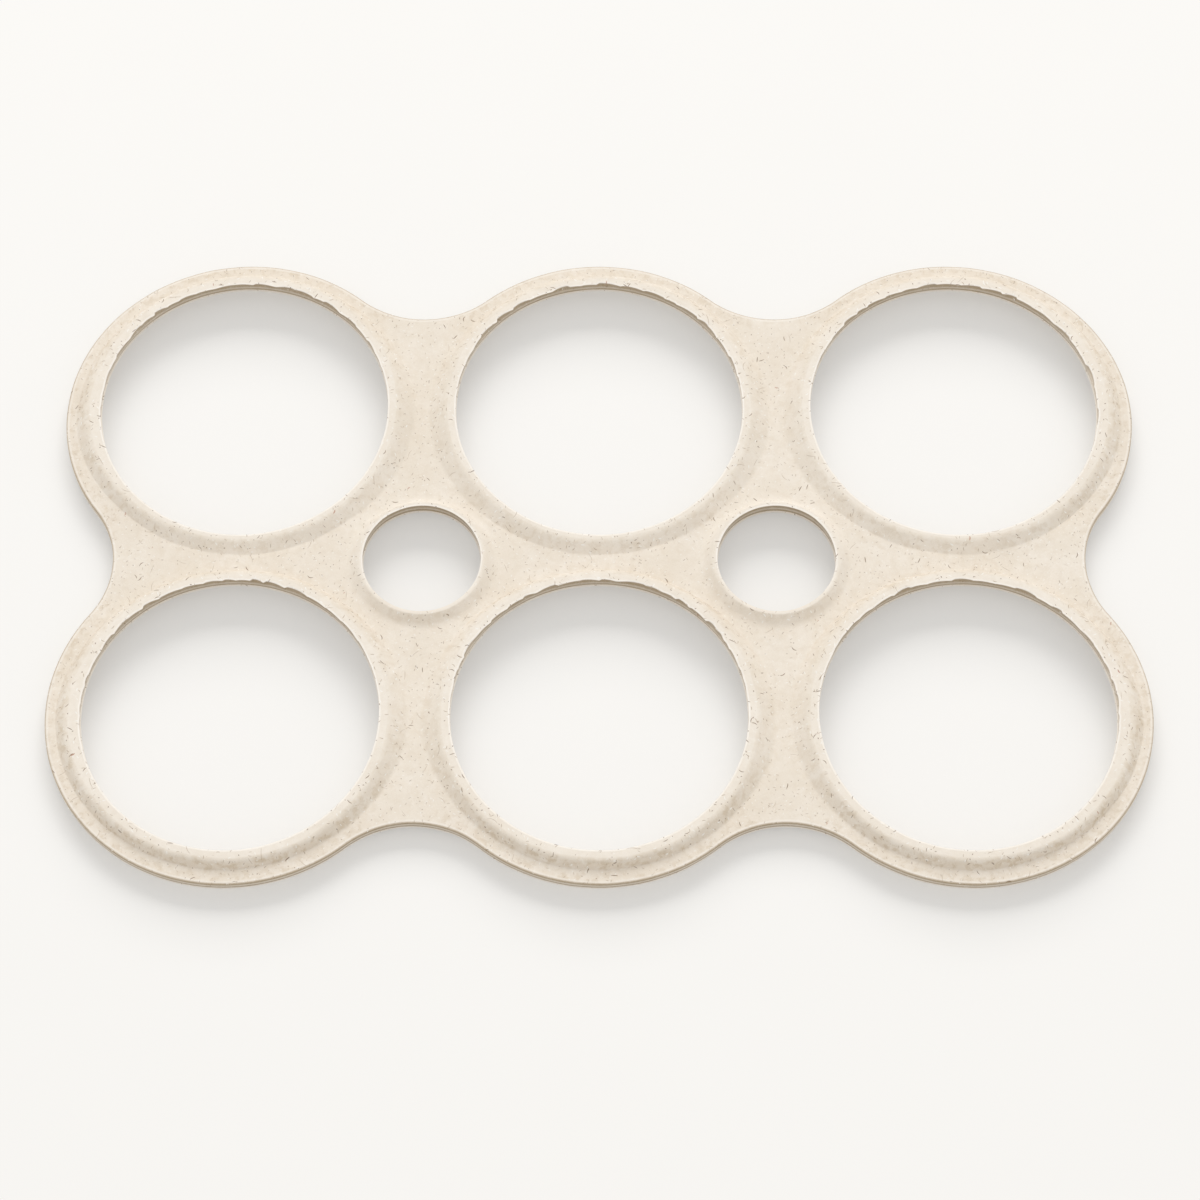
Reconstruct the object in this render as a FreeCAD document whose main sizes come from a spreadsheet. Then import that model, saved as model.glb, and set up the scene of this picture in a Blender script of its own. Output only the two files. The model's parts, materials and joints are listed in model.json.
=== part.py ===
import FreeCAD, Part
import math
import os
import Sketcher

# Six-pack can carrier: one sheet of moulded fibre with two rows of three can holes
# and two finger holes between the rows. Millimetres, +Z up.
# X runs along the three columns and Y across the two rows. The origin is the middle
# of the underside, which lies flat on whatever the carrier rests on.

NODE = "carrier_sheet"
COLUMNS = 3
ROWS = 2

SIZES = [
    # the flat sheet
    ("wall", 2.0, "thickness of the flat web and rim"),
    ("can_hole_diameter", 52.9, "snaps over a 54.0 can seam and sits round the 52.4 neck"),
    ("column_web", 12.7, "material between two neighbouring holes of a row"),
    ("row_web", 10.1, "material between the two holes of a column"),
    ("rim_width", 5.8, "from a can hole out to the outer edge on the two long sides"),
    ("end_rim_width", 6.7, "the same at the two ends"),
    ("notch_radius", 18.5, "hollow curve of the outer edge between two columns"),
    ("waist_radius", 17.5, "hollow curve of the outer edge between the two rows"),
    ("edge_round", 0.35, "rounding of the outer edges and of the holes' top edges"),
    # the raised lip round a can hole
    ("can_lip_rise", 2.4, "height above the web"),
    ("can_lip_land", 1.5, "flat top"),
    ("can_lip_run", 2.7, "width of the slope from the flat top down to the web"),
    ("can_lip_shoulder", 1.2, "radius at the top of the slope"),
    ("can_lip_toe", 0.7, "radius where the slope runs out into the web"),
    ("can_lip_wall", 2.5, "thickness at the can hole"),
    # the raised lip round a finger hole
    ("finger_hole_diameter", 21.3, "takes a fingertip or a thumb"),
    ("finger_inset", 0.6, "from the middle of a column gap towards the carrier's middle"),
    ("finger_lip_rise", 2.3, "height above the web"),
    ("finger_lip_land", 0.4, "flat top"),
    ("finger_lip_run", 2.8, "width of the slope from the flat top down to the web"),
    ("finger_lip_shoulder", 0.6, "radius at the top of the slope"),
    ("finger_lip_toe", 1.6, "radius where the slope runs out into the web"),
    ("finger_lip_wall", 2.3, "thickness at the finger hole"),
]
VALUE = {alias: value for alias, value, note in SIZES}

# the same worked-out sizes, once as expressions on the sheet and once as starting numbers
COLUMN_PITCH = "(sizes.can_hole_diameter + sizes.column_web)"
ROW_PITCH = "(sizes.can_hole_diameter + sizes.row_web)"
LOBE_RADIUS = "(sizes.can_hole_diameter / 2 + sizes.end_rim_width)"
LOBE_ROW = f"({ROW_PITCH} / 2 + sizes.rim_width - sizes.end_rim_width)"
FINGER_X = f"({COLUMN_PITCH} / 2 - sizes.finger_inset)"
column_pitch = VALUE["can_hole_diameter"] + VALUE["column_web"]
row_pitch = VALUE["can_hole_diameter"] + VALUE["row_web"]
lobe_radius = VALUE["can_hole_diameter"] / 2 + VALUE["end_rim_width"]
lobe_row = row_pitch / 2 + VALUE["rim_width"] - VALUE["end_rim_width"]
finger_x = column_pitch / 2 - VALUE["finger_inset"]

CUT_OVERRUN = 1.0  # how far a cutting profile runs past the face that it opens
SAME = 1e-4  # two lengths closer than this are the same
QUARTER = math.pi / 2

# Sketcher's numbers for the origin, the axes and the points of a line or an arc
ORIGIN_POINT = (-1, 1)
HORIZONTAL_AXIS = -1
VERTICAL_AXIS = -2
START, END, CENTRE = 1, 2, 3


def vector(x, y):
    return FreeCAD.Vector(x, y, 0)


def circle(centre, radius):
    return Part.Circle(centre, FreeCAD.Vector(0, 0, 1), radius)


def arc(centre, radius, start, end):
    """An arc that runs anticlockwise between two angles in radians."""
    return Part.ArcOfCircle(circle(centre, radius), start, end)


def angle_to(centre, point):
    return math.atan2(point.y - centre.y, point.x - centre.x)


def new_sketch(body, name, plane_role):
    sketch = body.newObject("Sketcher::SketchObject", name)
    plane = next(p for p in body.Origin.OriginFeatures if p.Role == plane_role)
    sketch.AttachmentSupport = [(plane, "")]
    sketch.MapMode = "FlatFace"
    return sketch


def rule(sketch, *constraint):
    return sketch.addConstraint(Sketcher.Constraint(*constraint))


def bind(sketch, name, expression, *constraint):
    """Add a named dimension to a sketch and tie it to the sheet's sizes."""
    index = rule(sketch, *constraint)
    sketch.renameConstraint(index, name)
    sketch.setExpression(f"Constraints.{name}", expression)


def bind_from_origin(sketch, name, expression, kind, point, offset):
    """Tie how far a point lies from the origin, on whichever side of it."""
    ends = ORIGIN_POINT + point if offset > 0 else point + ORIGIN_POINT
    bind(sketch, name, expression, kind, *ends, abs(offset))


def hollow_centre(first, second, radius):
    """Centre of the hollow arc that touches two neighbouring lobes on their outer side."""
    half = (second - first) * 0.5
    outward = vector(half.y, -half.x).normalize()
    reach = math.sqrt((lobe_radius + radius) ** 2 - half.Length ** 2)
    return first + half + outward * reach


def draw_outline(body):
    """Six lobes, one round each can hole, joined by hollow arcs tangent to both neighbours.

    A lobe's centre lies a little inwards of its can hole, so the rim is wider at the ends.
    """
    sketch = new_sketch(body, "outline", "XY_Plane")
    places = [(-1, -1), (0, -1), (1, -1), (1, 1), (0, 1), (-1, 1)]  # anticlockwise
    count = len(places)
    lobes = [vector(i * column_pitch, j * lobe_row) for i, j in places]
    sizes = ["notch_radius", "notch_radius", "waist_radius"] * 2  # after each lobe
    hollows = []
    for k, size in enumerate(sizes):
        hollows.append(hollow_centre(lobes[k], lobes[(k + 1) % count], VALUE[size]))

    for k, lobe in enumerate(lobes):
        start, end = angle_to(lobe, hollows[k - 1]), angle_to(lobe, hollows[k])
        sketch.addGeometry(arc(lobe, lobe_radius, start, end))
    for k, hollow in enumerate(hollows):
        start, end = angle_to(hollow, lobes[(k + 1) % count]), angle_to(hollow, lobes[k])
        sketch.addGeometry(arc(hollow, VALUE[sizes[k]], start, end))

    for k, size in enumerate(sizes):
        rule(sketch, "Tangent", k, END, count + k, END)
        rule(sketch, "Tangent", count + k, START, (k + 1) % count, START)
        bind(sketch, f"{size}_{k}", f"sizes.{size}", "Radius", count + k, VALUE[size])
    for k, (i, j) in enumerate(places):
        bind(sketch, f"lobe_radius_{k}", LOBE_RADIUS, "Radius", k, lobe_radius)
        middle = (k, CENTRE)
        if i == 0:
            rule(sketch, "PointOnObject", *middle, VERTICAL_AXIS)
        else:
            bind_from_origin(sketch, f"column_{k}", COLUMN_PITCH, "DistanceX", middle, i * column_pitch)
        bind_from_origin(sketch, f"row_{k}", LOBE_ROW, "DistanceY", middle, j * lobe_row)
    return sketch


class Lip:
    """The lip round one kind of hole: its place, its sizes and the slope that they make."""

    def __init__(self, kind, x, y, x_cell, y_cell):
        self.kind = kind
        self.x, self.y = x, y
        self.x_cell, self.y_cell = x_cell, y_cell
        self.hole = VALUE[f"{kind}_hole_diameter"] / 2
        self.hole_cell = f"sizes.{kind}_hole_diameter / 2"
        self.shoulder = VALUE[f"{kind}_lip_shoulder"]
        self.toe = VALUE[f"{kind}_lip_toe"]
        self.land_end = self.hole + VALUE[f"{kind}_lip_land"]
        self.land_end_cell = f"{self.hole_cell} + sizes.{kind}_lip_land"
        self.toe_end = self.land_end + VALUE[f"{kind}_lip_run"]
        self.toe_end_cell = f"{self.land_end_cell} + sizes.{kind}_lip_run"
        self.crest = VALUE["wall"] + VALUE[f"{kind}_lip_rise"]
        self.crest_cell = f"sizes.wall + sizes.{kind}_lip_rise"
        self.ceiling = self.crest - VALUE[f"{kind}_lip_wall"]
        self.ceiling_cell = f"{self.crest_cell} - sizes.{kind}_lip_wall"
        # the angle of the straight that touches both the shoulder and the toe
        run, rise = VALUE[f"{kind}_lip_run"], VALUE[f"{kind}_lip_rise"]
        radii = self.shoulder + self.toe
        straight = math.sqrt(run ** 2 + rise ** 2 - 2 * radii * rise)
        self.slope = math.atan2(rise - radii, run) + math.atan2(radii, straight)
        self.across = vector(math.sin(self.slope), math.cos(self.slope))  # square to the slope


def draw_slope(sketch, lip, helper):
    """The upper side of a lip: shoulder arc, straight slope and toe arc, in half section.

    As a helper it adds nothing to the profile and only guides the hollow under it.
    """
    shoulder_centre = vector(lip.land_end, lip.crest - lip.shoulder)
    toe_centre = vector(lip.toe_end, VALUE["wall"] + lip.toe)
    top = shoulder_centre + lip.across * lip.shoulder
    foot = toe_centre - lip.across * lip.toe
    shoulder_arc = arc(shoulder_centre, lip.shoulder, QUARTER - lip.slope, QUARTER)
    toe_arc = arc(toe_centre, lip.toe, 3 * QUARTER - lip.slope, 3 * QUARTER)
    shoulder = sketch.addGeometry(shoulder_arc, helper)
    slope = sketch.addGeometry(Part.LineSegment(top, foot), helper)
    toe = sketch.addGeometry(toe_arc, helper)

    rule(sketch, "Tangent", shoulder, START, slope, START)
    rule(sketch, "Tangent", slope, END, toe, START)
    rule(sketch, "Vertical", shoulder, CENTRE, shoulder, END)
    rule(sketch, "Vertical", toe, CENTRE, toe, END)
    kind = lip.kind
    bind(sketch, "shoulder", f"sizes.{kind}_lip_shoulder", "Radius", shoulder, lip.shoulder)
    bind(sketch, "toe", f"sizes.{kind}_lip_toe", "Radius", toe, lip.toe)
    land_end, toe_end = (shoulder, END), (toe, END)
    bind_from_origin(sketch, "land_end", lip.land_end_cell, "DistanceX", land_end, lip.land_end)
    bind_from_origin(sketch, "crest", lip.crest_cell, "DistanceY", land_end, lip.crest)
    bind_from_origin(sketch, "toe_end", lip.toe_end_cell, "DistanceX", toe_end, lip.toe_end)
    bind_from_origin(sketch, "web_top", "sizes.wall", "DistanceY", toe_end, VALUE["wall"])
    return shoulder, slope, toe


def close_with_lines(sketch, corners, first, last):
    """Close a profile with level and upright lines from one of its ends to the other."""
    pairs = list(zip(corners, corners[1:]))
    lines = []
    for a, b in pairs:
        line = sketch.addGeometry(Part.LineSegment(a, b))
        rule(sketch, "Horizontal" if abs(a.y - b.y) < SAME else "Vertical", line)
        lines.append(line)
    rule(sketch, "Coincident", *first, lines[0], START)
    for before, after in zip(lines, lines[1:]):
        rule(sketch, "Coincident", before, END, after, START)
    rule(sketch, "Coincident", lines[-1], END, *last)
    return lines


def draw_mound(sketch, lip):
    """Half section of the solid mound that becomes the lip, from the hole's axis outwards."""
    shoulder, slope, toe = draw_slope(sketch, lip, False)
    corners = [
        vector(lip.toe_end, VALUE["wall"]),
        vector(lip.toe_end, 0),
        vector(0, 0),
        vector(0, lip.crest),
        vector(lip.land_end, lip.crest),
    ]
    lines = close_with_lines(sketch, corners, (toe, END), (shoulder, END))
    rule(sketch, "Coincident", lines[1], END, *ORIGIN_POINT)


def draw_hollow(sketch, lip):
    """Half section of the hollow under the lip, which keeps the slope as thick as the web."""
    shoulder, slope, toe = draw_slope(sketch, lip, True)
    toe_centre = vector(lip.toe_end, VALUE["wall"] + lip.toe)
    under_radius = lip.toe + VALUE["wall"]
    foot = toe_centre - lip.across * under_radius
    along = vector(-lip.across.y, lip.across.x)
    top = foot + along * ((lip.ceiling - foot.y) / along.y)
    inner = lip.hole / 2

    under_slope = sketch.addGeometry(Part.LineSegment(top, foot))
    under_arc = arc(toe_centre, under_radius, 3 * QUARTER - lip.slope, 3 * QUARTER)
    under_toe = sketch.addGeometry(under_arc)
    rule(sketch, "Parallel", under_slope, slope)
    rule(sketch, "Tangent", under_slope, END, under_toe, START)
    rule(sketch, "Coincident", under_toe, CENTRE, toe, CENTRE)
    rule(sketch, "Vertical", under_toe, CENTRE, under_toe, END)
    rule(sketch, "PointOnObject", under_toe, END, HORIZONTAL_AXIS)
    under_top = (under_slope, START)
    bind_from_origin(sketch, "ceiling", lip.ceiling_cell, "DistanceY", under_top, lip.ceiling)

    corners = [
        vector(lip.toe_end, 0),
        vector(lip.toe_end, -CUT_OVERRUN),
        vector(inner, -CUT_OVERRUN),
        vector(inner, lip.ceiling),
        top,
    ]
    lines = close_with_lines(sketch, corners, (under_toe, END), under_top)
    low_corner = (lines[1], END)
    bind_from_origin(sketch, "inner", f"{lip.hole_cell} / 2", "DistanceX", low_corner, inner)
    rule(sketch, "DistanceY", *low_corner, *ORIGIN_POINT, CUT_OVERRUN)


def turn(body, lip, name, feature, draw):
    """Turn a half section about the axis of the lip's hole, to add it or to cut it away."""
    sketch = new_sketch(body, f"{name}_section", "XZ_Plane")
    sketch.setExpression("AttachmentOffset.Base.x", f"-{lip.x_cell}")
    sketch.setExpression("AttachmentOffset.Base.z", lip.y_cell)
    draw(sketch, lip)
    turned = body.newObject(f"PartDesign::{feature}", name)
    turned.Profile = sketch
    turned.ReferenceAxis = (sketch, ["V_Axis"])
    turned.Angle = 360
    body.Document.recompute()
    return turned


def punch(body, lip, name):
    sketch = new_sketch(body, f"{name}_circle", "XY_Plane")
    edge = sketch.addGeometry(circle(vector(lip.x, lip.y), lip.hole))
    bind(sketch, "hole_radius", lip.hole_cell, "Radius", edge, lip.hole)
    middle = (edge, CENTRE)
    bind_from_origin(sketch, "column", lip.x_cell, "DistanceX", middle, lip.x)
    if lip.y == 0:
        rule(sketch, "PointOnObject", *middle, HORIZONTAL_AXIS)
    else:
        bind_from_origin(sketch, "row", lip.y_cell, "DistanceY", middle, lip.y)
    hole = body.newObject("PartDesign::Pocket", name)
    hole.Profile = sketch
    hole.Type = "ThroughAll"
    hole.SideType = "Symmetric"
    body.Document.recompute()
    return hole


def lipped_hole(body, lip):
    """The raised lip, the hollow under it and the hole, at the first place of its kind."""
    features = [
        turn(body, lip, f"{lip.kind}_lip", "Revolution", draw_mound),
        turn(body, lip, f"{lip.kind}_lip_hollow", "Groove", draw_hollow),
        punch(body, lip, f"{lip.kind}_hole"),
    ]
    volumes = [feature.Shape.Volume for feature in features]
    if not volumes[0] > volumes[1] > volumes[2]:
        raise RuntimeError(f"a cut of the {lip.kind} hole missed the sheet")
    return features


def edges_to_round(shape, lips):
    """Names of the outline's edges, top and bottom, and of every hole's top edge."""
    wanted = [(lip.hole, lip.crest) for lip in lips]
    for radius in (lobe_radius, VALUE["notch_radius"], VALUE["waist_radius"]):
        wanted += [(radius, 0), (radius, VALUE["wall"])]
    names = []
    for number, edge in enumerate(shape.Edges, start=1):
        if not isinstance(edge.Curve, Part.Circle):
            continue
        radius, height = edge.Curve.Radius, edge.Curve.Center.z
        if any(abs(radius - r) < SAME and abs(height - z) < SAME for r, z in wanted):
            names.append(f"Edge{number}")
    return names


def write_sheet(doc):
    sheet = doc.addObject("Spreadsheet::Sheet", "sizes")
    for row, (alias, value, note) in enumerate(SIZES, start=1):
        sheet.set(f"A{row}", alias)
        sheet.set(f"B{row}", str(value))
        sheet.setAlias(f"B{row}", alias)
        sheet.set(f"C{row}", note)


def build_carrier(doc):
    body = doc.addObject("PartDesign::Body", NODE)
    body.Label = NODE
    outline = draw_outline(body)
    flat_sheet = body.newObject("PartDesign::Pad", "flat_sheet")
    flat_sheet.Profile = outline
    flat_sheet.setExpression("Length", "sizes.wall")
    doc.recompute()

    can = Lip("can", -column_pitch, -row_pitch / 2, COLUMN_PITCH, f"{ROW_PITCH} / 2")
    can_features = lipped_hole(body, can)
    can_places = body.newObject("PartDesign::LinearPattern", "can_places")
    can_places.Originals = can_features
    can_places.Direction = (outline, ["H_Axis"])
    can_places.Occurrences = COLUMNS
    can_places.setExpression("Length", f"{COLUMN_PITCH} * {COLUMNS - 1}")
    can_places.Direction2 = (outline, ["V_Axis"])
    can_places.Occurrences2 = ROWS
    can_places.setExpression("Length2", f"{ROW_PITCH} * {ROWS - 1}")
    body.Tip = can_places
    doc.recompute()

    finger = Lip("finger", -finger_x, 0, FINGER_X, "0")
    finger_features = lipped_hole(body, finger)
    finger_places = body.newObject("PartDesign::Mirrored", "finger_places")
    finger_places.Originals = finger_features
    finger_places.MirrorPlane = (outline, ["V_Axis"])
    body.Tip = finger_places
    doc.recompute()

    rounding = body.newObject("PartDesign::Fillet", "rounded_edges")
    rounding.Base = (finger_places, edges_to_round(finger_places.Shape, [can, finger]))
    rounding.setExpression("Radius", "sizes.edge_round")
    body.Tip = rounding
    body.Placement = FreeCAD.Placement()
    doc.recompute()
    return body


def check(doc, body):
    for item in doc.Objects:
        if "Invalid" in item.State or "Error" in item.State:
            raise RuntimeError(f"{item.Label} failed: {item.State}")
    shape = body.Shape
    if shape.isNull() or not shape.isValid() or len(shape.Solids) != 1:
        raise RuntimeError(f"{body.Label} is not one sound solid")


doc = FreeCAD.newDocument("can_carrier")
write_sheet(doc)
doc.recompute()
carrier = build_carrier(doc)
check(doc, carrier)

os.makedirs("parts", exist_ok=True)
carrier.Shape.exportStep(f"parts/{carrier.Label}.step")
box = carrier.Shape.optimalBoundingBox(False, False)
print(f"{carrier.Label}: {box.XLength:.2f} x {box.YLength:.2f} x {box.ZLength:.2f} mm,",
      f"{carrier.Shape.Volume / 1000:.2f} cm3, {len(carrier.Shape.Faces)} faces")
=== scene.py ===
import json
import math
import random

import bpy
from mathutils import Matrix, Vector, noise
from mathutils.geometry import delaunay_2d_cdt


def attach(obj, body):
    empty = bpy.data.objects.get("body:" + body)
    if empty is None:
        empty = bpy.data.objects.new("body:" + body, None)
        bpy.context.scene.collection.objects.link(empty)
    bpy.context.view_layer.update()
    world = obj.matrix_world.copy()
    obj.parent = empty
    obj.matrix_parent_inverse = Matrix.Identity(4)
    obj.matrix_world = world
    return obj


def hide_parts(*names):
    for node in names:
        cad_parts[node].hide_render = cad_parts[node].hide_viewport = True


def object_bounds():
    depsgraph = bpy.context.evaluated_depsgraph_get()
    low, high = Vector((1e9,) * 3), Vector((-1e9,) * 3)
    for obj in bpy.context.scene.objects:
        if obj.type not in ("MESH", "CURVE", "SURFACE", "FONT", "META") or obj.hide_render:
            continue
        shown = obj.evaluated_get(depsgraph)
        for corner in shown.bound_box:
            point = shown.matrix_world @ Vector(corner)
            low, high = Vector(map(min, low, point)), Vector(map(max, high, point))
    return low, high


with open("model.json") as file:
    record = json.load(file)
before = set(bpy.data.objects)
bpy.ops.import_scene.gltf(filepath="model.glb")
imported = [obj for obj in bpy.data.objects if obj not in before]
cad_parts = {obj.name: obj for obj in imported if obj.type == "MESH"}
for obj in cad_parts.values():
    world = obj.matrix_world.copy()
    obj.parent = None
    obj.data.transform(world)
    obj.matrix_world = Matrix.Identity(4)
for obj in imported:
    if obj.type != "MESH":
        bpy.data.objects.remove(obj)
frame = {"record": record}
cadBox = [list(corner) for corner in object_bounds()]
print("stage: frame loaded")

# The carrier is worked out in millimetres and scaled to metres when its mesh is made.
mm = 0.001
turn = 2 * math.pi


# Shader nodes as plain sums.

class Wire:  # one output socket; sums on it add Math nodes
    def __init__(self, finish, socket):
        self.finish, self.socket = finish, socket

    def calc(self, operation, *values):
        return self.finish.node("Math", {"operation": operation}, dict(enumerate(values)))

    def __add__(self, other):
        return self.calc("ADD", self, other)

    def __sub__(self, other):
        return self.calc("SUBTRACT", self, other)

    def __rsub__(self, other):
        return self.calc("SUBTRACT", other, self)

    def __mul__(self, other):
        return self.calc("MULTIPLY", self, other)

    def __truediv__(self, other):
        return self.calc("DIVIDE", self, other)

    def __rtruediv__(self, other):
        return self.calc("DIVIDE", other, self)

    def __pow__(self, other):
        return self.calc("POWER", self, other)

    def __lt__(self, other):
        return self.calc("LESS_THAN", self, other)

    def __abs__(self):
        return self.calc("ABSOLUTE", self)

    __radd__ = __add__
    __rmul__ = __mul__

    def sine(self):
        return self.calc("SINE", self)

    def cosine(self):
        return self.calc("COSINE", self)

    def fade(self, start, end, low=0.0, high=1.0):  # smooth step between two values
        inputs = {"Value": self, "From Min": start, "From Max": end, "To Min": low, "To Max": high}
        return self.finish.node("MapRange", {"interpolation_type": "SMOOTHSTEP"}, inputs)


class Finish:  # the nodes of one material or of the world
    def __init__(self, owner):
        owner.use_nodes = True
        self.tree = owner.node_tree
        self.tree.nodes.clear()

    def node(self, kind, settings, inputs, output=0):
        made = self.tree.nodes.new("ShaderNode" + kind)
        for name, value in settings.items():
            setattr(made, name, value)
        for key, value in inputs.items():
            if isinstance(value, Wire):
                self.tree.links.new(value.socket, made.inputs[key])
            else:
                made.inputs[key].default_value = value
        return Wire(self, made.outputs[output]) if made.outputs else None

    def other(self, wire, output):  # another output of the same node
        return Wire(self, wire.socket.node.outputs[output])

    def blendColour(self, share, first, second):
        return self.node("Mix", {"data_type": "RGBA"}, {0: share, 6: first, 7: second}, 2)

    def vector(self, operation, first, second):
        return self.node("VectorMath", {"operation": operation}, {0: first, 1: second})

    def noise(self, where, size, detail=2.0, rough=0.5, bend=0.0):
        inputs = {"Vector": where, "Scale": 1 / size}
        inputs.update({"Detail": detail, "Roughness": rough, "Distortion": bend})
        return self.node("TexNoise", {"noise_dimensions": "3D"}, inputs)

    def attribute(self, name):
        return self.node("Attribute", {"attribute_name": name}, {}, "Fac")


def rgb(red, green, blue):  # a screen colour as a linear one
    def one(value):
        value = value / 255
        return value / 12.92 if value <= 0.04045 else ((value + 0.055) / 1.055) ** 2.4
    return (one(red), one(green), one(blue), 1.0)


# The moulded sheet: what it measures, and how its edges and slopes are painted.

sheet = {
    "wall": 2.0,               # web and rim
    "notchRadius": 18.5,       # hollow of the outline between two columns
    "waistRadius": 17.5,       # hollow of the outline between the two rows
    "step": 0.60,              # between points along the outline
    "edgeRound": 0.30,         # top of the outer edge
    "ridge": 0.08,             # parting line left round the cut edges
    "trim": 0.07,              # how uneven the trimmed outline is
    "trimSize": 4.5,
    "rimTint": 0.60,           # how much darker the narrow rims at the outer edge are painted
    "rimWidths": (7.5, 10.0),  # rims that have all of that, and none of it
    "webStep": 1.9,            # between points inside the web
    "webRow": 0.87,            # and between rows of them, as a share of it
    "webMargin": 0.75,         # from them to the outline
    "webClear": 0.25,          # and to the widest foot of a lip
    "webWave": 0.05,           # how far the pressed web is from flat
    "webWaveSize": 17.0,
    "underWave": 0.02,         # the same on its underside
    "underWaveSize": 6.0,
    "creaseAngle": 48.0,       # edges sharper than this stay crisp
}
canLip = {
    "points": 336,             # round the hole
    "rise": 2.4,               # from the web to the flat top
    "sizes": {                 # at the front and back of the hole and then at its sides
        "wall": (2.15, 1.6),   # height of the hole's wall
        "cut": (1.0, 0.45),    # how brown its cut face is painted, with painted shade
        "crisp": (1.0, 1.0),   # painted highlight along its top edge
        "land": (1.35, 1.55),  # flat top
        "drop": (0.0, 0.25),   # how far that lies under the full rise
        "foot": (3.65, 5.60),  # from the hole to the end of the slope
        "shoulder": (0.62, 0.36), "toe": (0.17, 0.40),  # the slope's radii as shares of its width
        "tint": (0.85, 0.12), "pale": (0.0, 0.0),  # drawn-down tint with painted shade, most at the front; painted highlight
    },
    "changes": {               # what is added to those at the fronts of the rows, the backs and the ends
        "frontRow": {"land": 0.10, "drop": 0.42, "foot": -0.40},
        "backRow": {"land": -0.50, "drop": 0.85, "foot": -0.05, "tint": -0.40, "pale": 0.25},
        "back": {"tint": -0.45},
        "end": {"land": 0.50, "foot": -0.70, "shoulder": 0.24, "toe": -0.25, "tint": 0.45},
    },
    "landWave": 0.22, "footWave": 0.22, "crestWave": 0.10,  # how far each wanders round the hole
    "chipLength": (2.2, 4.8), "chipDepth": 0.55, "chipFront": 0.08,  # share of that depth at the front
}
fingerLip = {
    "points": 144,
    "rise": 2.0,
    "sizes": {
        "wall": (1.75, 1.3),
        "cut": (1.0, 0.4),
        "crisp": (1.0, 1.0),
        "land": (0.50, 0.30),
        "drop": (0.0, 0.25),
        "foot": (3.00, 3.70),
        "shoulder": (0.15, 0.30), "toe": (0.72, 0.65),
        "tint": (0.2, 0.0), "pale": (0.30, 0.15),
    },
    "changes": {
        "frontRow": {"land": -0.30, "drop": 0.50, "foot": 0.20, "crisp": -0.75},
        "back": {"tint": -0.2},
    },
    "landWave": 0.05, "footWave": 0.12, "crestWave": 0.05,
    "chipLength": (3.0, 6.0), "chipDepth": 0.04, "chipFront": 1.0,
}


def clamped(value):
    return min(1.0, max(0.0, value))


def holesNamed(start):  # centre and radius of each
    found = []
    for mount in frame["record"]["mounts"]:
        if mount["name"].startswith(start):
            x, y = mount["pos_m"][0] / mm, mount["pos_m"][1] / mm
            found.append(Vector((x, y, mount["dims"]["r_mm"])))
    return found


def endOf(hole):  # -1 left of the middle, 1 right of it
    return (hole.x > 1) - (hole.x < -1)


def arcPoints(centre, radius, start, end):
    count = max(2, round(abs(end - start) * radius / sheet["step"]))
    made = []
    for k in range(count):  # the end point belongs to the next arc
        angle = start + (end - start) * k / count
        outward = Vector((math.cos(angle), math.sin(angle)))
        made.append((centre + outward * radius, outward))
    return made


def heading(a, b):
    return math.atan2(b.y - a.y, b.x - a.x)


def outlinePoints(canHoles):
    # anticlockwise from the front left lobe: points of the outer edge with their outward directions
    endX, sideY = cadBox[1][0] / mm, cadBox[1][1] / mm
    pitch = max(hole.x for hole in canHoles)
    lobeRadius = endX - pitch
    row = sideY - lobeRadius
    lobes = [Vector((i * pitch, j * row)) for i, j in
             [(-1, -1), (0, -1), (1, -1), (1, 1), (0, 1), (-1, 1)]]
    radii = [sheet["notchRadius"], sheet["notchRadius"], sheet["waistRadius"]] * 2
    hollows = []
    for k, radius in enumerate(radii):
        first, second = lobes[k], lobes[(k + 1) % len(lobes)]
        half = (second - first) / 2
        outward = Vector((half.y, -half.x)).normalized()
        reach = math.sqrt((lobeRadius + radius) ** 2 - half.length ** 2)
        hollows.append(first + half + outward * reach)

    points = []
    for k, lobe in enumerate(lobes):
        start, end = heading(lobe, hollows[k - 1]), heading(lobe, hollows[k])
        end += turn if end < start else 0
        points += arcPoints(lobe, lobeRadius, start, end)
        centre, following = hollows[k], lobes[(k + 1) % len(lobes)]
        start, end = heading(centre, lobe), heading(centre, following)
        end -= turn if end > start else 0
        points += [(p, -out) for p, out in arcPoints(centre, radii[k], start, end)]
    return points


lipWaves = {                   # share, waves round the hole and seed
    "land": [(0.7, 3.1, 0.3), (0.3, 9.0, 5.7)],
    "foot": [(0.6, 3.7, 9.1), (0.3, 8.1, 1.9)],
    "crest": [(0.5, 2.6, 2.2)],
}


def wobble(angle, waves, seed):  # smooth noise round a circle, about -1 to 1
    spot = Vector((math.cos(angle) * waves, math.sin(angle) * waves, seed))
    return max(-1.0, min(1.0, 1.6 * noise.noise(spot)))


def lipWave(name, angle, seed):
    return sum(share * wobble(angle, waves, seed + own) for share, waves, own in lipWaves[name])


scallop = {                    # one bite of the broken top edge
    "ends": [(0.05, 1.0), (1.0, 0.05), (0.55, 0.75), (0.1, 0.4)],  # how deep it starts and finishes
    "depths": (0.2, 1.0),
    "belly": 0.3,              # how much deeper it is half way
    "lean": 0.35,              # how far the deepest ones lean from the back to the outer side
    "begin": -0.1,             # the sine of where they begin, a little in front of the hole's middle
    "full": 0.7,               # and of where they reach their full depth
}


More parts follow.
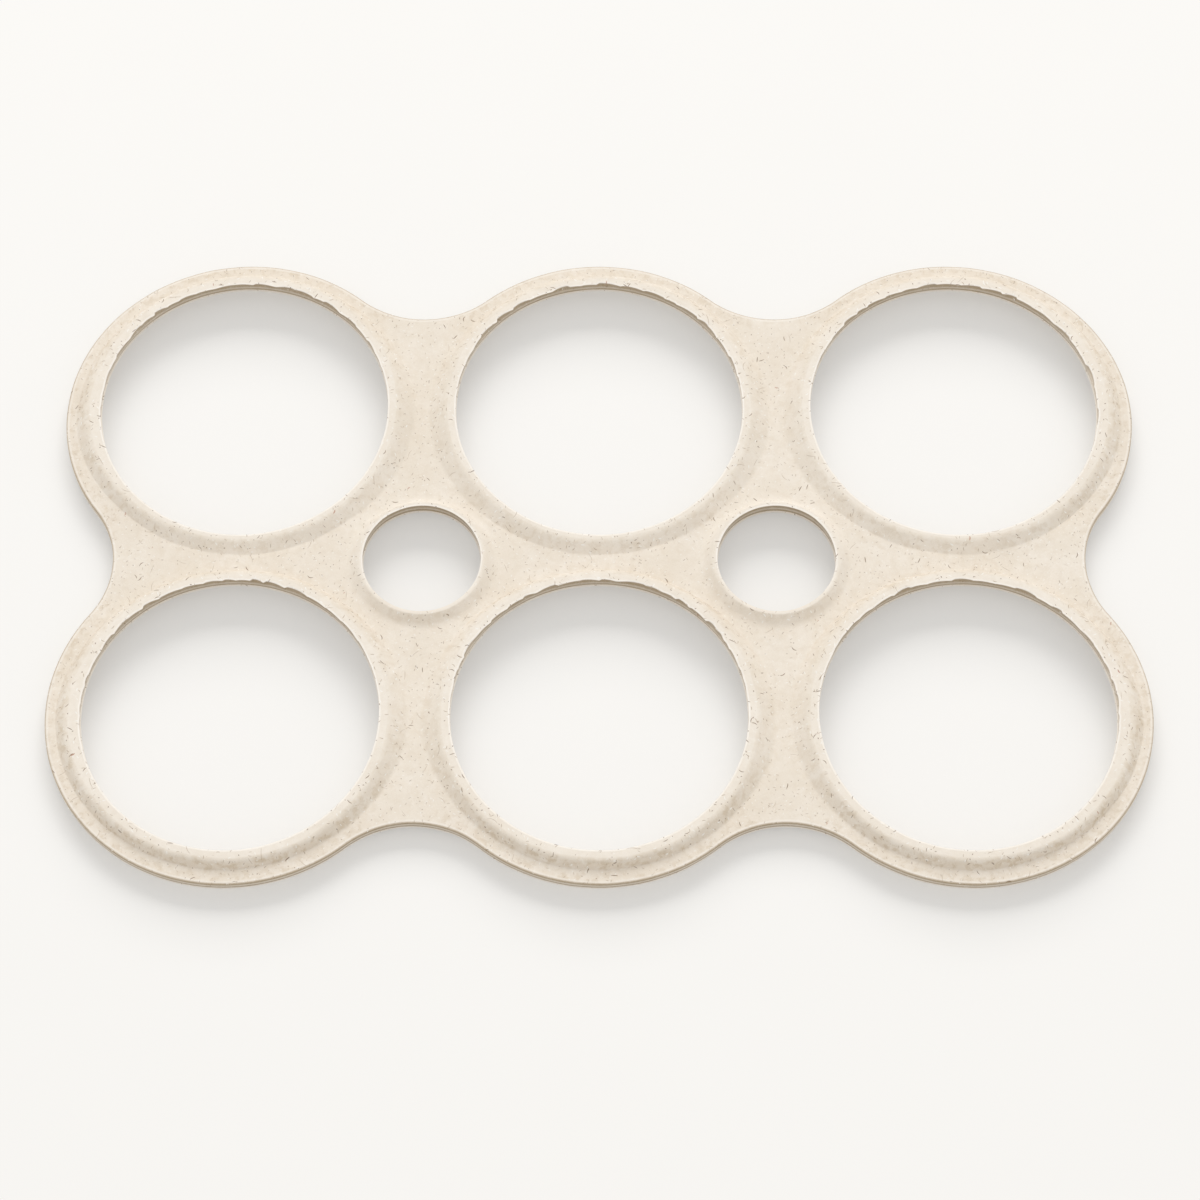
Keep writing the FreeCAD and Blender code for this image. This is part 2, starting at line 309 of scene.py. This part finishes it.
def chipsRound(hole, lip, seed):
    # the top inner edge breaks in a run of shallow scallops, deepest at the back and on the outer side
    rng = random.Random(seed)
    count = lip["points"]
    shares = []
    while len(shares) < count:
        length = round(rng.uniform(*lip["chipLength"]) * count / (turn * hole.z))
        peak = rng.uniform(*scallop["depths"])
        start, end = rng.choice(scallop["ends"])
        for k in range(length):
            along = k / (length - 1)
            belly = scallop["belly"] * math.sin(math.pi * along)
            shares.append(peak * (start + (end - start) * along + belly))
    depths = []
    for i, share in enumerate(shares[:count]):
        angle = turn * i / count
        back = math.sin(angle) + scallop["lean"] * endOf(hole) * math.cos(angle)
        back = clamped((back - scallop["begin"]) / (scallop["full"] - scallop["begin"]))
        back = back * back * (3 - 2 * back)
        depths.append(share * lip["chipDepth"] * (lip["chipFront"] + (1 - lip["chipFront"]) * back))
    return depths


def webLift(x, y):
    spot = Vector((x, y, 3.0)) / sheet["webWaveSize"]
    return sheet["webWave"] * (noise.noise(spot) + 0.5 * noise.noise(spot * 3.1))


def lipSizes(hole, lip, angle, seed):
    # what the lip measures and how it is painted at one angle round its hole
    side, front, back = math.cos(angle) ** 4, max(0.0, -math.sin(angle)), max(0.0, math.sin(angle))
    size = {name: first + (second - first) * side for name, (first, second) in lip["sizes"].items()}
    size["pale"] *= 1 - front
    shares = {
        "backRow" if hole.y > 1 else "frontRow": front,
        "back": back,
        "end": max(0.0, endOf(hole) * math.cos(angle)) ** 2,
    }
    for where, share in shares.items():
        for name, change in lip["changes"].get(where, {}).items():
            size[name] += change * share
    size["land"] += lip["landWave"] * lipWave("land", angle, seed)
    size["foot"] += lip["footWave"] * lipWave("foot", angle, seed)
    dip = lip["crestWave"] * (0.5 + lipWave("crest", angle, seed))
    size["crest"] = sheet["wall"] + lip["rise"] - dip - size["drop"]
    size["tint"] = max(0.0, size["tint"])
    return size


lipSteps = {"back": 4, "shoulder": 5, "toe": 4}  # between points on the arcs of a lip's section
lipBack = {                    # the hollow under a lip
    "footGap": 0.62,           # least from the hole to the bottom of its slope
    "topGap": 0.50,            # and to the top
    "round": 0.05,
}
cutFace = {                    # the wall of a hole
    "flash": [                 # outward from the hole, up from the bottom, cut edge, painted highlight
        (0.22, 0.00, 0.2, 0.6), (0.03, 0.03, 0.0, 1.0), (0.00, 0.12, 0.0, 1.0),
        (0.02, 0.20, 0.0, 1.0), (0.23, 0.28, 0.0, 1.0), (0.24, 0.36, 1.0, 0.0),
    ],
    "depth": 0.24,             # of the face behind the flash
    "edge": 0.05,              # of the top edge behind it
    "bevel": 0.24,             # how wide that edge's painted highlight is
    "leastLand": 0.55,         # what a chip leaves of the flat top, with that edge
    "ridgeHeights": (0.34, 0.40, 0.58, 0.64),  # the parting line's four corners, as shares of the wall
    "ridgePaint": 0.45,        # how brown it is painted: less than the face, a painted highlight along the ridge
    "landLight": 0.26,         # painted highlight on the flat top
}


def lipSection(size, chip):
    # from the bottom web inwards and up round the hole's wall to the top web, as rows of
    # outward from the hole, height, cut edge and painted shade, painted highlight, slope
    wall, land, foot, crest = sheet["wall"], size["land"], size["foot"], size["crest"]
    run, rise = foot - land, crest - wall
    shoulder, toe = size["shoulder"] * run, size["toe"] * run
    radii = shoulder + toe  # of the two arcs that the slope's straight is tangent to
    straight = math.sqrt(run ** 2 + rise ** 2 - 2 * radii * rise)
    slope = math.atan2(rise - radii, run) + math.atan2(radii, straight)
    rows = []

    def add(x, z, cut=0.0, highlight=0.0, slant=0.0):
        rows.append((x, z, cut * size["cut"], highlight, slant))

    # underside: the hollow follows the slope at the web's thickness
    thick = min(toe + wall, (foot - lipBack["footGap"]) / math.sin(slope))
    steps = lipSteps["back"]
    for k in range(steps + 1):
        angle = slope * k / steps
        add(foot - thick * math.sin(angle), thick * (1 - math.cos(angle)), slant=k / steps)
    lowX, lowZ = rows[-1][:2]
    ceiling = min(crest - size["wall"], lowZ + (lowX - lipBack["topGap"]) * math.tan(slope))
    topX, bend = lowX - (ceiling - lowZ) / math.tan(slope), lipBack["round"]
    add(topX + bend * math.cos(slope), ceiling - bend * math.sin(slope), slant=0.6)
    add(topX - bend * 1.2, ceiling)

    # the hole's wall: flash at the bottom painted as a highlight, then the cut face with a ridge half way
    for x, up, cut, highlight in cutFace["flash"]:
        add(x, ceiling + up, cut, highlight)
    high, depth, ridge = crest - ceiling, cutFace["depth"], sheet["ridge"]
    under, low, top, over = [ceiling + high * share for share in cutFace["ridgeHeights"]]
    add(depth, under, 1.0)
    add(depth - ridge, low, cutFace["ridgePaint"])
    add(depth - 0.01 - ridge, top, cutFace["ridgePaint"])
    add(depth + 0.25 * chip, over, 1.0)

    # its broken top edge with a painted highlight, and the flat top, painted a little lighter
    edge = cutFace["edge"] + chip
    add(max(edge + 0.04, depth - 0.04 + 0.4 * chip), ceiling + high * 0.80, 1.0)
    add(edge, crest - 0.10 - 0.1 * chip, 0.9, 0.2)
    add(edge + 0.04, crest - 0.02 - 0.1 * chip, 0.0, size["crisp"])
    add(edge + cutFace["bevel"], crest, 0.0, size["crisp"])
    add(edge + cutFace["bevel"] + 0.16, crest, 0.0, cutFace["landLight"])
    land = max(land, edge + cutFace["leastLand"])
    add(land, crest, 0.0, cutFace["landLight"])

    # the slope: shoulder arc, straight and toe arc
    steps = lipSteps["shoulder"]
    for k in range(1, steps + 1):
        angle = slope * k / steps
        add(land + shoulder * math.sin(angle), crest - shoulder * (1 - math.cos(angle)), slant=k / steps)
    steps = lipSteps["toe"]
    for k in range(steps, -1, -1):
        angle = slope * k / steps
        add(foot - toe * math.sin(angle), wall + toe * (1 - math.cos(angle)), slant=(k + 1) / (steps + 1))
    return rows


class MeshParts:  # vertices, faces and the painted shares of the one mesh
    def __init__(self):
        self.points, self.shares, self.faces = [], [], []

    def loop(self, rows):
        start = len(self.points)
        for point, share in rows:
            self.points.append(point)
            self.shares.append(share)
        return list(range(start, len(self.points)))

    def strips(self, loops):
        for first, second in zip(loops, loops[1:]):
            count = len(first)
            for i in range(count):
                j = (i + 1) % count
                self.faces.append((first[i], second[i], second[j], first[j]))


def lippedHole(parts, hole, lip, seed):
    # loops from the bottom web up through the hole to the top web; returns the top and bottom ones
    count = lip["points"]
    angles = [turn * i / count for i in range(count)]
    sizes = [lipSizes(hole, lip, angle, seed) for angle in angles]
    sections = [lipSection(size, chip) for size, chip in zip(sizes, chipsRound(hole, lip, seed))]
    loops = []
    last = len(sections[0]) - 1
    for row in range(last + 1):
        made = []
        for angle, size, section in zip(angles, sizes, sections):
            x, z, cut, highlight, slope = section[row]
            px, py = hole.x + (hole.z + x) * math.cos(angle), hole.y + (hole.z + x) * math.sin(angle)
            if row == last:
                z += webLift(px, py)
            # cut face with painted shade, painted highlight (on the slope too), painted shade on the slope
            paint = (cut, max(highlight, slope * size["pale"]), slope * size["tint"])
            made.append((Vector((px, py, z)), paint))
        loops.append(parts.loop(made))
    parts.strips(loops)
    return loops[-1], loops[0]


def outerEdge(parts, canHoles):
    # loops from the top web over the outer edge to the bottom web
    wall, bend, ridge = sheet["wall"], sheet["edgeRound"], sheet["ridge"]
    rows = [  # inwards, height, cut edge and painted shade, painted highlight
        # painted highlight along the top, painted shade on the rounding, the ridge painted lighter, a
        # painted highlight along the bottom
        (bend + 0.45, wall, 0.0, 0.1),
        (bend + 0.10, wall, 0.0, 0.7),
        (bend * 0.62, wall - bend * 0.08, 0.6, 0.2),
        (bend * 0.15, wall - bend * 0.45, 1.0, 0.0),
        (ridge * 0.6, wall - bend, 1.0, 0.0),
        (ridge, wall * 0.74, 1.0, 0.0),
        (0.01, wall * 0.69, 0.3, 0.1),
        (0.0, wall * 0.48, 0.3, 0.1),
        (ridge, wall * 0.42, 1.0, 0.0),
        (ridge * 1.6, wall * 0.24, 1.0, 0.0),
        (0.01, wall * 0.18, 0.0, 1.0),
        (0.0, wall * 0.05, 0.0, 1.0),
        (0.20, 0.0, 0.2, 0.3),
    ]
    narrow, wide = sheet["rimWidths"]
    outline = outlinePoints(canHoles)
    loops = []
    for inset, z, cut, highlight in rows:
        made = []
        for p, out in outline:
            trim = sheet["trim"] * (0.5 + 0.5 * noise.noise(Vector((p.x, p.y, 8.0)) / sheet["trimSize"]))
            at = p - out * (inset + trim)
            lift = webLift(at.x, at.y) if z > wall * 0.6 else 0.0
            rim = min(math.hypot(p.x - hole.x, p.y - hole.y) - hole.z for hole in canHoles)
            # the narrow rims painted darker, in the slope colour
            tint = sheet["rimTint"] * clamped((wide - rim) / (wide - narrow)) if z > wall * 0.9 else 0.0
            made.append((Vector((at.x, at.y, z + lift)), (cut, highlight, tint)))
        loops.append(parts.loop(made))
    parts.strips(loops)
    return loops[0], loops[-1]


def webPoints(outline, holes):
    # a staggered lattice of points inside the outline and clear of every lip
    spacing, margin, cell = sheet["webStep"], sheet["webMargin"], 2
    rise = spacing * sheet["webRow"]
    rowCount = int(max(abs(p.y) for p in outline) / rise) + 1
    grid = {}
    for p in outline:
        grid.setdefault((int(p.x // cell), int(p.y // cell)), []).append(p.xy)
    found = []
    for row in range(-rowCount, rowCount + 1):
        y = row * rise
        crossings = []
        for a, b in zip(outline, outline[1:] + outline[:1]):
            if (a.y > y) != (b.y > y):
                crossings.append(a.x + (b.x - a.x) * (y - a.y) / (b.y - a.y))
        crossings.sort()
        for left, right in zip(crossings[::2], crossings[1::2]):
            x = (math.ceil(left / spacing) + 0.5 * (row % 2)) * spacing
            while x < right - margin:
                p = Vector((x, y))
                x += spacing
                cx, cy = int(p.x // cell), int(p.y // cell)
                near = [q for i in (-1, 0, 1) for j in (-1, 0, 1) for q in grid.get((cx + i, cy + j), [])]
                gaps = [math.hypot(p.x - hole.x, p.y - hole.y) - reach for hole, reach in holes]
                clear = min(gaps) > sheet["webClear"]
                if clear and p.x > left + margin and all((p - q).length > margin for q in near):
                    found.append(p)
    return found


def fillWeb(parts, outer, rings, holes):
    # triangles between the outer edge and the foot of each lip, alike in plan on both faces of the web
    flat, tops, bottoms, edges, ringOf = [], [], [], [], []
    for number, (top, bottom) in enumerate([outer] + rings):
        start = len(flat)
        flat += [parts.points[i].xy for i in top]
        edges += [(start + i, start + (i + 1) % len(top)) for i in range(len(top))]
        ringOf += [number] * len(top)
        tops += top
        bottoms += bottom
    bare = (0.0, 0.0, 0.0)
    for p in webPoints([parts.points[i] for i in outer[0]], holes):
        top = Vector((p.x, p.y, sheet["wall"] + webLift(p.x, p.y)))
        up = sheet["underWave"] * (1 + noise.noise(top / sheet["underWaveSize"]))
        flat.append(p)
        ringOf.append(-1)
        tops += parts.loop([(top, bare)])
        bottoms += parts.loop([(Vector((p.x, p.y, up)), bare)])
    points, _, triangles, origins, _, _ = delaunay_2d_cdt(flat, edges, [], 1, 1e-6)
    if len(points) != len(flat):
        raise RuntimeError("two loops of the web cross")
    count = 0
    for triangle in triangles:
        a, b, c = [origins[i][0] for i in triangle]
        sameRing = ringOf[a] > 0 and ringOf[a] == ringOf[b] == ringOf[c]
        if sameRing and (a < b < c or b < c < a or c < a < b):
            continue  # it closes a hole
        parts.faces.append((tops[a], tops[b], tops[c]))
        parts.faces.append((bottoms[c], bottoms[b], bottoms[a]))
        count += 1
    return count


def buildSheet():
    parts = MeshParts()
    canHoles, fingerHoles = holesNamed("can_hole"), holesNamed("finger_hole")
    rings, holes = [], []
    for k, hole in enumerate(canHoles + fingerHoles):
        lip = canLip if k < len(canHoles) else fingerLip
        rings.append(lippedHole(parts, hole, lip, 11.0 + 3.7 * k))  # each with a seed of its own
        holes.append((hole, hole.z + max(lip["sizes"]["foot"]) + lip["footWave"]))
    outer = outerEdge(parts, canHoles)
    print("stage: lips and outer edge,", len(parts.points), "points")
    count = fillWeb(parts, outer, rings, holes)
    print("stage: web filled with", count, "triangles a side")

    mesh = bpy.data.meshes.new("mouldedCarrier")
    mesh.from_pydata([p * mm for p in parts.points], [], parts.faces)
    # painted shares per point: brown cut face with painted shade, painted highlight, painted shade on the
    # slopes
    for column, name in enumerate(("cutEdgeAndShade", "paintedHighlight", "slope")):
        painted = mesh.attributes.new(name, "FLOAT", "POINT")
        painted.data.foreach_set("value", [share[column] for share in parts.shares])
    mesh.validate()
    mesh.shade_smooth()
    mesh.set_sharp_from_angle(angle=math.radians(sheet["creaseAngle"]))
    carrier = bpy.data.objects.new("mouldedCarrier", mesh)
    bpy.context.scene.collection.objects.link(carrier)
    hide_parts("carrier_sheet")
    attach(carrier, "root")
    return carrier


# The moulded fibre.

pulp = {
    "body": rgb(243, 234, 221),
    "deep": rgb(236, 225, 209),        # where the pulp lies thicker
    "slope": rgb(231, 217, 198),       # drawn-down sides of the lips, with painted shade; fibres and grain too
    "cut": rgb(181, 161, 132),         # trimmed edges, darkened with painted shade
    "edge": rgb(255, 249, 240),        # painted highlight on edges, flash, lands and slopes; pale hairs too
    "shade": rgb(211, 193, 167),       # thin wet patches on the slopes
    "fleckBrown": rgb(120, 89, 58),
    "fleckGrey": rgb(160, 135, 105),
    "fleckRust": rgb(176, 112, 78),
    "fleckPale": rgb(255, 252, 246),
    "noises": {                        # size, detail, roughness and distortion
        "cloud": (8.0, 4.0, 0.62),
        "tuft": (1.9, 4.0, 0.65, 0.5),
        "patch": (1.5, 3.0, 0.6, 0.3),
        "grain": (0.32, 3.0, 0.65),
        "lumps": (3.4, 2.0, 0.5),
        "hairs": (1.1, 2.0, 0.5, 1.6),
        "finest": (0.6, 2.0, 0.5, 1.2),
    },
    "hairWidth": 0.035, "finestWidth": 0.04,  # how much of the last two shows as fibres
    "screenPitch": 0.85,               # weave of the forming screen
    "relief": {"lumps": 0.16, "tuft": 0.12, "grain": 0.05, "hairs": 0.03, "finest": 0.02,
               "flecks": 0.02, "weave": 0.045},
}
flecks = [  # colour, cell, half length, half width, depth, share of cells, strength
    ("fleckBrown", 2.5, 0.58, 0.090, 0.50, 0.92, 0.80),
    ("fleckGrey", 1.4, 0.42, 0.080, 0.40, 0.90, 0.60),
    ("fleckBrown", 1.4, 0.19, 0.105, 0.25, 0.85, 0.75),
    ("fleckGrey", 4.4, 1.25, 0.070, 0.90, 0.90, 0.50),
    ("fleckPale", 1.4, 0.38, 0.110, 0.36, 0.95, 0.75),
    ("fleckRust", 5.5, 0.50, 0.140, 0.45, 0.40, 0.75),
    ("fleckBrown", 1.3, 0.22, 0.120, 0.10, 0.60, 0.60),
]
fleckForm = {
    "apart": (7.31, 3.17, 5.53),       # from one kind's lattice to the next
    "bend": 0.9,                       # how much the fibres bow
    "least": 0.55, "spread": 0.6,      # share of its length that the shortest has, and what others add
    "sharp": 0.55,                     # how much of a fibre has its full strength
    "faint": 0.5,                      # strength of the faintest
}


def fleckLayer(finish, where, cell, length, width, depth, share, seed):
    # a short bent fibre lies flat in some of the cells of a random lattice
    moved = finish.vector("ADD", where, tuple(seed * apart for apart in fleckForm["apart"]))
    lattice = {"Vector": moved, "Scale": 1 / cell}
    spot = finish.node("TexVoronoi", {"voronoi_dimensions": "3D"}, lattice, "Position")
    chance = finish.node("SeparateColor", {}, {"Color": finish.other(spot, "Color")}, "Red")
    green, blue = finish.other(chance, "Green"), finish.other(chance, "Blue")
    x = finish.node("SeparateXYZ", {}, {0: finish.vector("SUBTRACT", moved, spot)})
    y, z = finish.other(x, "Y"), finish.other(x, "Z")
    angle = chance * turn
    cosine, sine = angle.cosine(), angle.sine()
    along = x * cosine + y * sine
    across = y * cosine - x * sine + along * along * (green - 0.5) * (fleckForm["bend"] / length)
    size = blue * fleckForm["spread"] + fleckForm["least"]
    reach = (along / length / size) ** 2.0 + (across / width) ** 2.0 + (z / depth) ** 2.0
    strength = blue * (1 - fleckForm["faint"]) + fleckForm["faint"]
    return reach.fade(1.0, fleckForm["sharp"]) * (green < share) * strength


def mouldedFibre():
    material = bpy.data.materials.new("mouldedFibre")
    finish = Finish(material)
    place = finish.node("TexCoord", {}, {}, "Object")
    where = finish.vector("MULTIPLY", place, (1 / mm, 1 / mm, 1 / mm))  # millimetres
    # the painted shares: brown cut face with painted shade, painted highlight, painted shade on the slopes
    cut, highlight, slope = (finish.attribute(name) for name in ("cutEdgeAndShade", "paintedHighlight", "slope"))

    def pulpNoise(name, at=where):
        return finish.noise(at, *pulp["noises"][name])

    cloud, tuft = pulpNoise("cloud"), pulpNoise("tuft")
    patch = pulpNoise("patch", finish.vector("ADD", where, (7, 41, 13)))
    grain, lumps = pulpNoise("grain"), pulpNoise("lumps")
    flattened = finish.vector("MULTIPLY", where, (1.0, 1.0, 1.6))
    hairs = abs(pulpNoise("hairs", flattened) - 0.5).fade(pulp["hairWidth"], 0.0)
    elsewhere = finish.vector("ADD", where, (31, 17, 5))
    finest = abs(pulpNoise("finest", elsewhere) - 0.5).fade(pulp["finestWidth"], 0.0)

    layers = [  # share and colour, from the bottom up
        (tuft.fade(0.36, 0.66) * 0.65, "deep"),
        # the pulp's drawn-down tint with painted shade, darkest on the fronts of the lips
        (slope * tuft.fade(0.30, 0.62, 0.15, 0.85), "slope"),
        # random darker patches, stronger where the slopes carry painted shade
        ((slope + 0.17) * patch.fade(0.46, 0.66, 0.0, 0.7), "shade"),
        # the cut face's brown, darkened with painted shade
        (cut * (tuft * 0.3 + 0.8), "cut"),
        # painted highlight on edges, flash, lands and slopes
        (highlight * (tuft * 0.6 + 0.5), "edge"),
        (hairs * 0.20, "edge"),
        (finest * 0.10, "slope"),
        (grain.fade(0.55, 0.85) * 0.22, "slope"),
    ]
    colour = finish.blendColour(cloud.fade(0.30, 0.72), pulp["body"], pulp["deep"])
    for share, name in layers:
        colour = finish.blendColour(share, colour, pulp[name])

    normal = finish.node("NewGeometry", {}, {}, "Normal")
    facing = finish.node("SeparateXYZ", {}, {0: normal}, "Z")
    level = abs(facing).fade(0.20, 0.50)
    raised = 0.0
    for seed, (name, cell, length, width, depth, share, strength) in enumerate(flecks, start=1):
        mask = fleckLayer(finish, where, cell, length, width, depth, share, seed)
        if depth > width:
            mask = mask * level  # the long ones lie in the faces, never across the cut edge
        colour = finish.blendColour(mask * strength, colour, pulp[name])
        raised = mask + raised

    # the forming screen leaves its weave on the underside only
    x = finish.node("SeparateXYZ", {}, {0: where})
    y = finish.other(x, "Y")
    threads = turn / pulp["screenPitch"]
    weave = (x * threads).sine() * (y * threads).sine() * facing.fade(-0.2, -0.8)
    relief = pulp["relief"]
    height = lumps * relief["lumps"] + tuft * relief["tuft"] + grain * relief["grain"]
    height = height + hairs * relief["hairs"] + finest * relief["finest"] + raised * relief["flecks"]
    height = height + weave * relief["weave"]
    bump = finish.node("Bump", {}, {"Strength": 0.5, "Distance": mm, "Height": height})
    shader = finish.node("BsdfPrincipled", {}, {
        "Base Color": colour,
        "Roughness": grain * 0.12 + 0.82,
        "IOR": 1.45,
        "Specular IOR Level": 0.30,
        "Normal": bump,
    })
    finish.node("OutputMaterial", {}, {"Surface": shader})
    return material


# Floor, light and camera.

studio = {
    "paper": rgb(251, 249, 245),
    "floor": (0.765, 0.752, 0.730, 1.0),
    "floorDeep": (0.735, 0.722, 0.700, 1.0),
    "floorHalf": 6.0,
    "gap": 0.0010,             # a pressed sheet never lies quite flat, so it stands this far off the floor
    "softShadow": 0.37,        # how much of the floor's shadow is taken off
    "softReach": (0.14, 0.60),  # from here to there the floor turns into plain background
    "worldLevel": 0.72,
    "lamps": {                 # power, size, place and the one thing each of them lights
        "key": (97.0, (3.4, 3.4), (0.0, 3.00, 3.60), "mouldedCarrier"),
        "low": (206.0, (3.4, 1.9), (0.0, 3.55, 1.84), "floor"),  # draws the soft shadow out
    },
    "target": (0.000152, -0.007619, 0.0018),  # what the camera looks at, from a height in degrees
    "elevation": 62.182,
    "distance": 0.70555,
    "lens": 117.06,
}


def makeWorld():
    world = bpy.data.worlds.new("studio")
    bpy.context.scene.world = world
    finish = Finish(world)
    path = finish.node("LightPath", {}, {}, "Is Camera Ray")
    seen = finish.node("Background", {}, {"Color": studio["paper"], "Strength": 1.0})
    lit = finish.node("Background", {}, {"Color": (1, 1, 1, 1), "Strength": studio["worldLevel"]})
    both = finish.node("MixShader", {}, {0: path, 1: lit, 2: seen})
    finish.node("OutputWorld", {}, {"Surface": both})


def makeFloor():
    material = bpy.data.materials.new("paperSweep")
    finish = Finish(material)
    place = finish.node("TexCoord", {}, {}, "Object")
    tone = finish.noise(place, 0.03, 2.0)
    seen = finish.node("LightPath", {}, {}, "Is Camera Ray")
    colour = finish.blendColour(tone * 0.3, studio["floor"], studio["floorDeep"])
    paper = finish.node("BsdfDiffuse", {}, {"Color": colour})
    pale = finish.node("Emission", {}, {"Color": studio["paper"], "Strength": 1.0})
    away = finish.node("VectorMath", {"operation": "LENGTH"}, {0: place}, "Value")
    share = away.fade(*studio["softReach"], studio["softShadow"], 1.0)
    shader = finish.node("MixShader", {}, {0: seen * share, 1: paper, 2: pale})
    finish.node("OutputMaterial", {}, {"Surface": shader})
    mesh = bpy.data.meshes.new("floor")
    half, z = studio["floorHalf"], -studio["gap"]
    corners = [(-half, -half, z), (half, -half, z), (half, half, z), (-half, half, z)]
    mesh.from_pydata(corners, [], [(0, 1, 2, 3)])
    mesh.materials.append(material)
    floor = bpy.data.objects.new("floor", mesh)
    bpy.context.scene.collection.objects.link(floor)


def aimed(thing, place, target):
    place, target = Vector(place), Vector(target)
    thing.location = place
    thing.rotation_euler = (target - place).to_track_quat("-Z", "Y").to_euler()
    bpy.context.scene.collection.objects.link(thing)


def makeLights():
    for name, (power, size, place, lit) in studio["lamps"].items():
        lamp = bpy.data.lights.new(name, "AREA")
        lamp.shape = "RECTANGLE"
        lamp.size, lamp.size_y = size
        lamp.energy = power
        holder = bpy.data.objects.new(name, lamp)
        aimed(holder, place, (0, 0, 0))
        only = bpy.data.collections.new(name + "Lights")
        only.objects.link(bpy.data.objects[lit])
        holder.light_linking.receiver_collection = only


def makeCamera():
    rise = math.radians(studio["elevation"])
    target = Vector(studio["target"])
    back = Vector((0, -math.cos(rise), math.sin(rise)))
    camera = bpy.data.cameras.new("camera")
    camera.lens = studio["lens"]
    camera.sensor_width = 36
    camera.clip_start, camera.clip_end = 0.01, 20
    holder = bpy.data.objects.new("camera", camera)
    aimed(holder, target + back * studio["distance"], target)
    bpy.context.scene.camera = holder


carrier = buildSheet()
carrier.data.materials.append(mouldedFibre())
print("stage: carrier finished,", len(carrier.data.polygons), "faces")
makeWorld()
makeFloor()
makeLights()
makeCamera()
bpy.context.scene.view_settings.view_transform = "Standard"
print("stage: studio ready")
